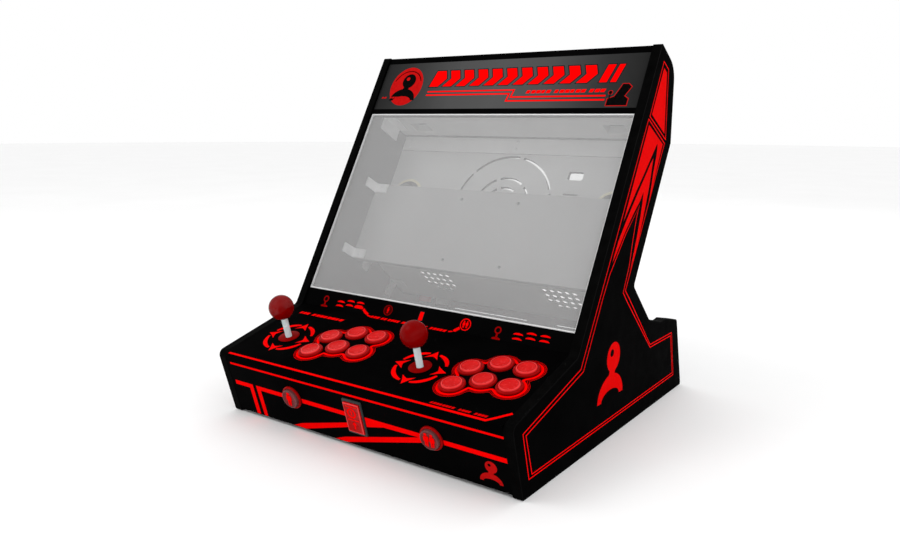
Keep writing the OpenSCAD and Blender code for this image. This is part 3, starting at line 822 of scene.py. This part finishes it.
def contour(centres, level, soft=2.2, n=240, inset=0.0):
    """Outline of circles of radius level melted together, drawn in by inset, found by angle about their middle."""
    far, halvings = 120.0, 18
    mx = sum(c[0] for c in centres) / len(centres)
    ms = sum(c[1] for c in centres) / len(centres)

    def field(x, y):
        return -soft * math.log(sum(math.exp(-math.hypot(x - c[0], y - c[1]) / soft) for c in centres))

    out = []
    for i in range(n):
        t = 2 * math.pi * i / n
        r = far
        while r > 0 and field(mx + r * math.cos(t), ms + r * math.sin(t)) > level:
            r -= 1.0
        lo, hi = r, r + 1.0
        for _ in range(halvings):
            mid = (lo + hi) / 2
            if field(mx + mid * math.cos(t), ms + mid * math.sin(t)) > level:
                hi = mid
            else:
                lo = mid
        out.append((mx + lo * math.cos(t), ms + lo * math.sin(t)))
    return grow(out, -inset) if inset else out


ARROW_R = 33.4   # middle of the arcs around each joystick, mm
art = Art(on("cp"))
for k in (0, 1):
    c = (STICK[0] + k * PLAYERS, STICK[1])
    for a0, a1 in ((23, 77), (103, 166), (191, 258), (283, 344)):
        outer, inner = [], []
        for i in range(25):
            u = i / 24 * 2 - 1
            t = math.radians((a0 + a1) / 2 + u * (a1 - a0) / 2)
            half = 1.6 + 1.3 * (1 - u * u)
            outer.append((c[0] + (ARROW_R + half) * math.cos(t), c[1] + (ARROW_R + half) * math.sin(t)))
            inner.append((c[0] + (ARROW_R - half) * math.cos(t), c[1] + (ARROW_R - half) * math.sin(t)))
        art.ribbon(outer, inner, RED)
    for a in range(4):
        head = [(39.6, 0), (31, 4.4), (21.8, 10.4), (25.4, 4.2), (27.2, 0), (25.4, -4.2), (21.8, -10.4), (31, -4.4)]
        art.poly([(c[0] + x, c[1] + y) for x, y in rot(head, 90 * a)], RED)
    centres = [(bx + 1.3 + k * PLAYERS, bs - 1.4) for bx, bs in BTN]
    art.ribbon(contour(centres, 20.0), contour(centres, 20.0, inset=3.6), RED, closed=True)
    for level, w in ((21.45, 0.42), (23.0, 0.42)):
        art.ribbon(contour(centres, level), contour(centres, level, inset=w), RED, closed=True)
art.stroke([(-217.6, 2.7), (203.4, 2.7), (212, 11), (224.6, 24.4)], 3.6, RED)


def dashes(art, x0, x1, s, h, count, mat=0, lean=0.35, layer=0):
    """A row of slanted dashes where small print would be."""
    w = (x1 - x0) / count
    for i in range(count):
        part = 0.84 if i % 3 else 0.72
        bar = [(0, -h / 2), (w * part, -h / 2), (w * part, h / 2), (0, h / 2)]
        art.poly(shift(bar, x0 + w * i, s, 1.0, lean), mat, layer)


art.stroke([(-97.2, 158.7), (-93.2, 156.6), (-89.4, 156.3)], 3.0, RED)
for x0, x1 in ((-88.6, -72.3), (-69.3, -59.1), (-56.6, -35.6), (-31.8, -24.3), (8.3, 11.5), (16.8, 44.1)):
    dashes(art, x0, x1, 156.5, 5.6, max(1, round((x1 - x0) / 5.1)), RED, lean=0.2)
art.stroke([(-24, 156.3), (8, 156.3)], 2.6, RED)
art.stroke([(47.0, 156.0), (52.6, 158.7)], 3.0, RED)
dashes(art, -206.6, -187.4, 132.2, 5.6, 3, RED)
dashes(art, -181.4, -120.4, 132.2, 5.6, 8, RED)
for x0, x1, count in ((125, 159, 8), (164.4, 181, 4), (185.6, 203, 4)):
    dashes(art, x0, x1, 8.9, 3.6, count, FILL)
art.done("control_panel_print", "cabinet", INKS)

# ---------------------------------------------------------------- lower rail
art = Art(on("screen", 0, 0, SCREEN_Z))


def stick_sign(art, x, s):
    """A small joystick sign: ring, shaft and oval base."""
    art.ring((x, s + 11.4), 3.2, 5.0, mat=DARK, n=28)
    art.poly([(x - 1.5, s + 1.4), (x + 1.5, s + 1.4), (x + 1.2, s + 6.6), (x - 1.2, s + 6.6)], DARK)
    art.disc((x, s), 6.5, DARK, 0, 32, ry=2.1)


stick_sign(art, -184.2, 4.6)
stick_sign(art, 119.2, 4.7)


def crescent(art, x, s, w=7.2, h=2.6):
    """The visible edge of a small drawn button."""
    def edge(rise):
        turns = [math.radians(t) for t in range(0, 181, 12)]
        return [(x + w * math.cos(t), s - h / 2 + h * rise * math.sin(t)) for t in turns]

    art.poly(edge(1.1) + list(reversed(edge(0.1)[1:-1])), RED)


for x, s in ((-153.5, 15.7), (-135.3, 19.0), (-116.8, 19.0), (-154.4, 9.4), (-135.9, 12.5), (149.4, 15.7),
             (167.9, 19.1), (187.4, 19.1), (149.2, 9.4), (167.9, 12.7), (187.4, 12.7)):
    crescent(art, x, s)
art.poly([(-126.4, 11.2), (-124.4, 10.2), (-110.4, 10.2), (-108.4, 11.4), (-110.6, 14.0), (-114, 15.2),
          (-121, 15.2), (-124.8, 14.0)], RED)
art.stroke([(-108.2, 10.8), (-103.0, 7.0), (-96.8, 3.95)], 4.0, RED)
art.stroke([(53.4, 3.95), (61.4, 9.8)], 4.0, RED)
art.disc((-63.8, 15.7), 7.6, MAROON, 0, 48)
art.ring((-63.8, 15.7), 6.9, 7.6, mat=DARK, layer=1)
person(art, -63.8, 16.0, 0.52, FILL, layer=1)
art.ring((68.8, 15.6), 7.0, 8.4, mat=RED)
person(art, 66.2, 15.8, 0.55, RED, wide=1.1)
person(art, 71.2, 15.8, 0.55, RED, wide=1.1)
cell = [(-8.6, 9.8), (-1.7, 9.8), (-1.7, 22.0), (-7.9, 22.0)]
art.poly(grow(cell, 1.1), TEAL)
art.poly(cell, RED, layer=1)
art.done("lower_rail_print", "cabinet", INKS)

# ---------------------------------------------------------------- front panel
art = Art(on("front", 0, 0, FRONT_Z))
art.stroke([(-218.8, 80.6), (225.4, 80.6)], 3.0, RED)
art.poly([(-218.8, 46.9), (-190.2, 46.9), (-190.2, 5.2), (-182.9, 5.2), (-182.9, 53.4), (-218.8, 53.4)], RED)
art.poly([(-176.2, 53.4), (-175.4, 5.2), (-168.4, 5.2), (-168.4, 46.9), (-122.4, 46.9), (-122.4, 53.4)], RED)
art.stroke([(-87.8, 50.2), (-11.0, 50.2)], 6.5, RED)
art.poly([(21.6, 53.4), (21.6, 45.6), (27, 45.6), (107.6, 47.0), (107.6, 53.4)], RED)
art.stroke([(140.8, 50.2), (225.4, 50.2)], 6.5, RED)


def slab_line(x0, s0, x1, s1, w):
    """A slanted bar with upright ends."""
    k = (s1 - s0) / (x1 - x0)
    d = w / 2 / math.cos(math.atan(k))
    return [(x0, s0 - d), (x1, s1 - d), (x1, s1 + d), (x0, s0 + d)]


bar = slab_line(-100, 8.6, -10.6, 33.6, 6.6)
art.poly([(-117.0, 4.9), (-94.0, 4.9), bar[1], bar[2], bar[3]], RED)
art.poly(slab_line(21.6, 42.6, 50, 49.6, 7.0), RED, layer=1)
bar = slab_line(-22, 8.4, 108.6, 44.4, 7.2)
art.poly([(-40.6, 4.9), (-19.5, 4.9), bar[1], bar[2], bar[3]], RED)


def stick_emblem(art, x, s, k, mat):
    """A plain joystick sign: ball, leaning shaft and domed base."""
    def curve(cx, cs, rx, rs, turns):
        return [(x + k * (cx + rx * math.cos(t)), s + k * (cs + rs * math.sin(t))) for t in turns]

    n = 44
    full = [2 * math.pi * i / n for i in range(n)]
    half = [math.radians(t) for t in range(0, 181, 9)]
    art.ribbon(curve(6, 18, 22, 22, full), curve(0.5, 25, 6, 5.5, full), mat, closed=True)
    art.poly(shift([(-10.5, -16), (9.5, -16), (13.5, 0), (-5.5, 0)], x, s, k), mat, 1)
    art.poly(curve(0, -42, 43, 36, half) + curve(0, -42, 30, 13, list(reversed(half))), mat)


stick_emblem(art, 200, 28.2, 0.36, BADGE_SLOT)
art.done("front_panel_print", "cabinet", INKS)

# ---------------------------------------------------------------- marquee
ROW_S, ROW_H, ROW_LEAN = 378.2, 27.6, 0.28
art = Art(on("screen", 0, 0, SCREEN_Z))
for i in range(11):
    arrow = [(0, 0), (16.6, 0), (25.6, ROW_H / 2), (16.6, ROW_H), (0, ROW_H)]
    if i:
        arrow.append((9.0, ROW_H / 2))
    pts = shift(arrow, -128 + i * 25.4, ROW_S, 1.0, ROW_LEAN)
    art.poly(grow(pts, 1.5), TEAL)
    art.poly(pts, RED, layer=1)
for x0, w in ((160.5, 11.5), (177.0, 8.5)):
    pts = shift([(0, 0), (w, 0), (w, ROW_H), (0, ROW_H)], x0, ROW_S, 1.0, ROW_LEAN)
    art.poly(grow(pts, 1.25), TEAL)
    art.poly(pts, RED, layer=1)
art.stroke([(-127.5, 369.2), (30.0, 369.2), (27.6, 357.5), (176, 357.5)], 2.5, RED)
art.stroke([(-128.3, 363.2), (23.4, 363.2), (21.2, 351.3), (176, 351.3)], 2.5, RED)
for x0, x1, count in ((51.6, 92, 5), (97, 146, 6), (150.6, 175, 3)):
    dashes(art, x0, x1, 365.6, 5.2, count, RED)
for x0, x1, count in ((-216.4, -206.6, 2), (-200, -171, 6)):
    dashes(art, x0, x1, 359.8, 3.0, count, BADGE_SLOT, layer=2)
art.disc((-174, 380), 31.5, BADGE_SLOT, -1, 64, ry=34.5)
art.ring((-174, 380), 26.6, 28.2, 20, 160, MAROON, 0, 48)
stick_emblem(art, -175, 379, 0.58, BLACK)
sign = shift([(-15, -16), (14, -16), (14, -6), (8, -2), (15, 12), (10, 16.5), (2, 16.5), (0, 11), (-6, -2.5),
              (-15, -6)], 195, 358.5)
art.poly(grow(sign, 1.1), BADGE_SLOT)
art.poly(sign, BLACK, layer=1)
art.poly([(181.4, 350), (183, 350), (183, 361), (181.4, 361)], BLACK, layer=2)
art.ring((182.2, 362.2), 2.6, 3.5, mat=BADGE_SLOT, n=24)
art.disc((182.2, 362.2), 2.6, BLACK, 1, 24)
art.done("marquee_print", "cabinet", INKS)

# ---------------------------------------------------------------- side panels
# the side print, (y, z) in mm from the front foot: outer and inner line, two filled sweeps, top box and its fill
OUT = [(-2.9, 78.6), (12.4, 21.1), (452.7, 24.4), (435.1, 95.2), (350.1, 96.2), (268.4, 177.4), (253.4, 191.2),
       (363.6, 378.1), (303.2, 410.8), (131.4, 116.1)]
IN = [(3.6, 74.8), (18.9, 24.9), (447.7, 28.6), (431.6, 91.0), (350.9, 92.0), (261.6, 174.6), (246.6, 189.6),
      (262.3, 223.1), (268.5, 250.0), (275.4, 274.2), (280.8, 289.2), (287.1, 299.8), (245.8, 266.2),
      (203.0, 220.9), (185.1, 193.2), (138.5, 111.6)]
CROWN = [[(305.5, 403.3), (356.8, 377.2), (341.5, 347.5), (331.0, 326.0), (322.5, 309.5), (317.5, 300.5),
          (320.0, 308.5), (325.0, 325.0), (328.5, 340.0), (333.0, 352.0), (336.5, 362.0), (338.2, 371.0),
          (338.6, 378.2), (334.5, 376.0), (317.8, 360.0), (297.5, 341.0), (274.0, 319.5), (253.8, 300.0),
          (237.5, 283.5)],
         [(326.2, 359.6), (316.5, 352), (305.3, 341), (283.4, 320.5), (263.1, 300.5), (243.5, 281), (224.5, 260),
          (213.5, 243.5), (209.5, 235), (218.5, 243.5), (227.4, 252.3), (247, 272.2), (268.5, 291), (287, 305),
          (298, 316.5), (296.5, 303), (291.5, 284), (284.2, 262), (276, 240), (268, 222), (264.5, 214),
          (272, 226), (283, 242), (292, 260.5), (300.7, 281.5), (309, 303), (316.3, 322.5), (320.5, 337),
          (323.5, 350)]]
TOP = [(346.3, 485.7), (364.2, 476.3), (366.6, 383.4), (306.9, 414.0)]
TOP_FILL = [(348.0, 477.5), (358.6, 471.6), (361.0, 391.4), (313.6, 416.6)]
LINE_W = 1.35
for plane in ("right", "left"):
    art = Art(on(plane), -0.05, 0.02)
    for line in (OUT, IN, TOP):
        art.stroke(line, LINE_W, RED, closed=True)
    art.poly(TOP_FILL, FILL)
    for part in CROWN:
        art.poly(part, FILL)
    stick_emblem(art, 220, 92.5, 0.9, FILL)
    art.done("side_print_" + plane, "cabinet", INKS)

# ---------------------------------------------------------------- floor
bm = bmesh.new()
bmesh.ops.create_circle(bm, cap_ends=True, segments=96, radius=14.0)
me = bpy.data.meshes.new("floor")
bm.to_mesh(me)
bm.free()
floor = bpy.data.objects.new("floor", me)
floor.location.z = -0.0005
scene.collection.objects.link(floor)
fm = Mat("floor", Roughness=0.85, Specular_IOR_Level=0.1)
fm.colour(fm.ramp(fm.noise(3, 3), [(0.3, (0.93, 0.93, 0.93)), (0.7, (0.95, 0.95, 0.95))]))
me.materials.append(fm.m)
